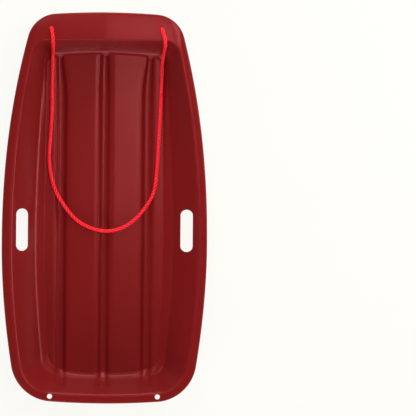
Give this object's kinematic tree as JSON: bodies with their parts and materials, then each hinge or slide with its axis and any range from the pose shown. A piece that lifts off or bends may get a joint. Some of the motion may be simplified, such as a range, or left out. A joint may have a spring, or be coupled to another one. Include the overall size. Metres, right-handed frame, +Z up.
{
  "type": "toboggan",
  "caption": "Moulded plastic toboggan for one rider, with a rolled rim, a broad nose lip, pressed-in runners, hand slots and a knotted tow rope that lies in the tub.",
  "frame": {"origin": "on the snow, under the middle of the tub", "axes": "+Y along the tub towards the nose, +Z up, +X to the rider's right"},
  "size_m": [0.481, 0.9144, 0.1175],
  "materials": {
    "red_plastic": "glossy moulded polyethylene",
    "red_rope": "laid three-strand polypropylene"
  },
  "bodies": {
    "root": {"sled_shell": "red_plastic", "tow_rope": "red_rope", "left_stopper_knot": "red_rope", "right_stopper_knot": "red_rope", "left_rope_end": "red_rope", "right_rope_end": "red_rope"}
  },
  "joints": []
}
